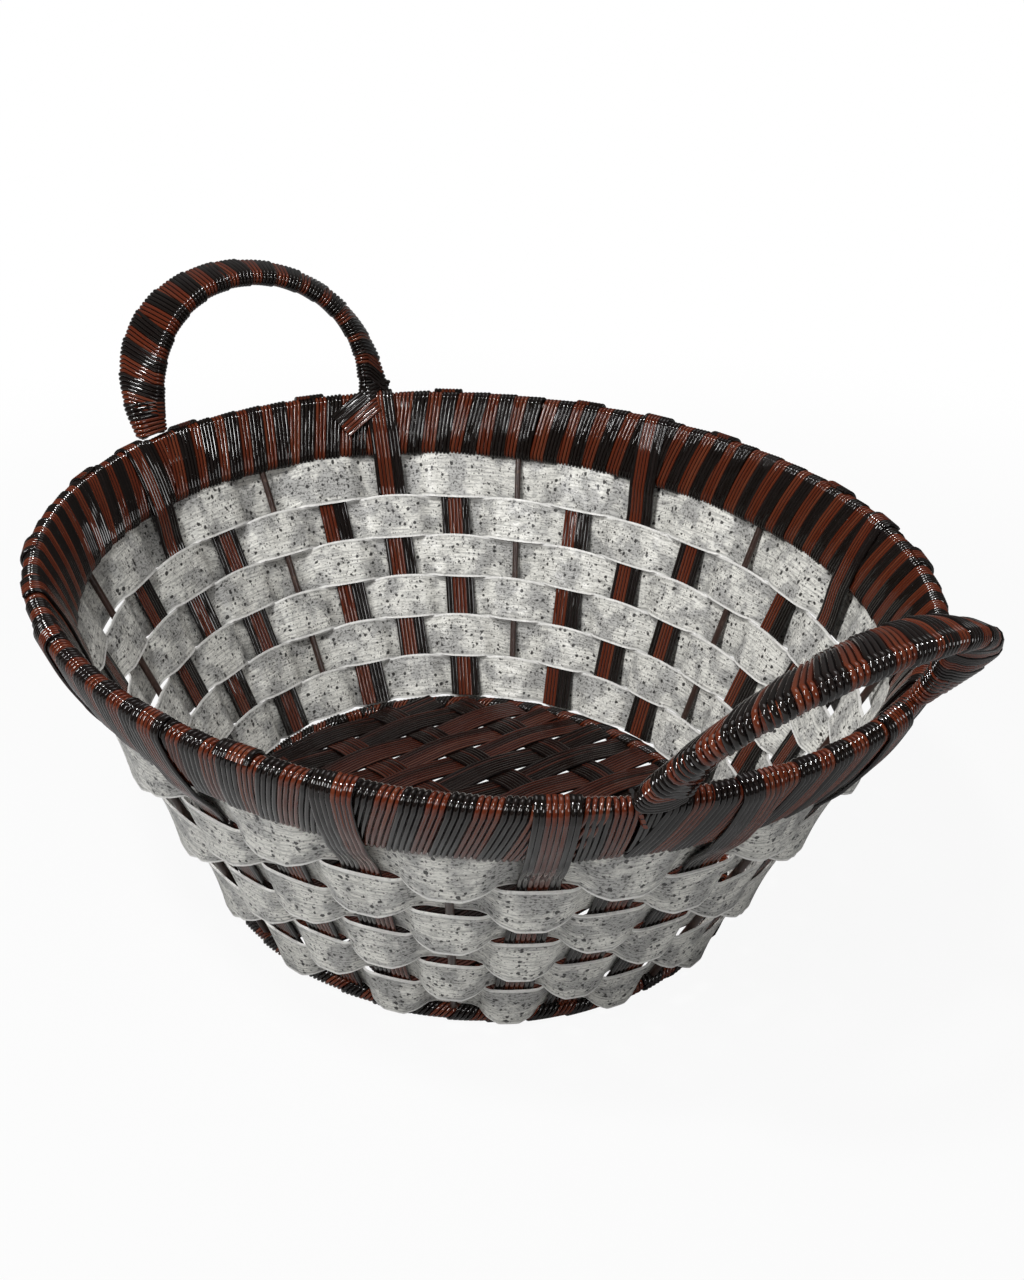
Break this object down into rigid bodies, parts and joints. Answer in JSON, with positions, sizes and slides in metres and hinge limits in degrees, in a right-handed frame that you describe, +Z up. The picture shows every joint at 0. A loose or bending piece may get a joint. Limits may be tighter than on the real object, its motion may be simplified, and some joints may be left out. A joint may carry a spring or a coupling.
{
  "type": "woven storage basket",
  "caption": "Oval woven storage basket with flared walls, a wound rim band and two ear handles.",
  "frame": {"origin": "on the floor, under the middle of the whole basket's box", "axes": "+X along the long axis towards handle b, which leans out further, +Y along the short axis, +Z up"},
  "size_m": [0.4218, 0.309, 0.1967],
  "materials": {
    "frame_wire": "dark brown painted steel wire",
    "grey_ribbon": "pale grey flat plastic ribbon with a stone print, semi-gloss",
    "stake_strip": "ribbed strip of round strands, near black and red-brown",
    "winding_strip": "ribbed strip of round strands, near black and red-brown",
    "mat_strip": "ribbed strip of round strands, dark brown"
  },
  "bodies": {
    "root": {"base_ring_winding_1": "winding_strip", "base_ring_winding_2": "winding_strip", "base_ring_wire": "frame_wire", "bottom_mat": "mat_strip", "handle_a_inner_wire": "frame_wire", "handle_a_lashing": "winding_strip", "handle_a_outer_wire": "frame_wire", "handle_a_winding": "winding_strip", "handle_b_inner_wire": "frame_wire", "handle_b_lashing": "winding_strip", "handle_b_outer_wire": "frame_wire", "handle_b_winding": "winding_strip", "ribbon_row_1": "grey_ribbon", "ribbon_row_2": "grey_ribbon", "ribbon_row_3": "grey_ribbon", "ribbon_row_4": "grey_ribbon", "ribbon_row_5": "grey_ribbon", "ribbon_row_6": "grey_ribbon", "rim_lower_wire": "frame_wire", "rim_upper_wire": "frame_wire", "rim_winding_1": "winding_strip", "rim_winding_2": "winding_strip", "rim_winding_3": "winding_strip", "rim_winding_4": "winding_strip", "stake_01": "stake_strip", "stake_02": "stake_strip", "stake_03": "stake_strip", "stake_04": "stake_strip", "stake_05": "stake_strip", "stake_06": "stake_strip", "stake_07": "stake_strip", "stake_08": "stake_strip", "stake_09": "stake_strip", "stake_10": "stake_strip", "stake_11": "stake_strip", "stake_12": "stake_strip", "stake_13": "stake_strip", "stake_14": "stake_strip", "stake_15": "stake_strip", "stake_16": "stake_strip", "stake_17": "stake_strip", "stake_18": "stake_strip", "stake_19": "stake_strip", "stake_20": "stake_strip", "stake_21": "stake_strip", "stake_22": "stake_strip", "stake_23": "stake_strip", "stake_24": "stake_strip", "upright_wire_1": "frame_wire", "upright_wire_2": "frame_wire", "upright_wire_3": "frame_wire", "upright_wire_4": "frame_wire", "upright_wire_5": "frame_wire", "upright_wire_6": "frame_wire", "upright_wire_7": "frame_wire", "upright_wire_8": "frame_wire"}
  },
  "joints": []
}
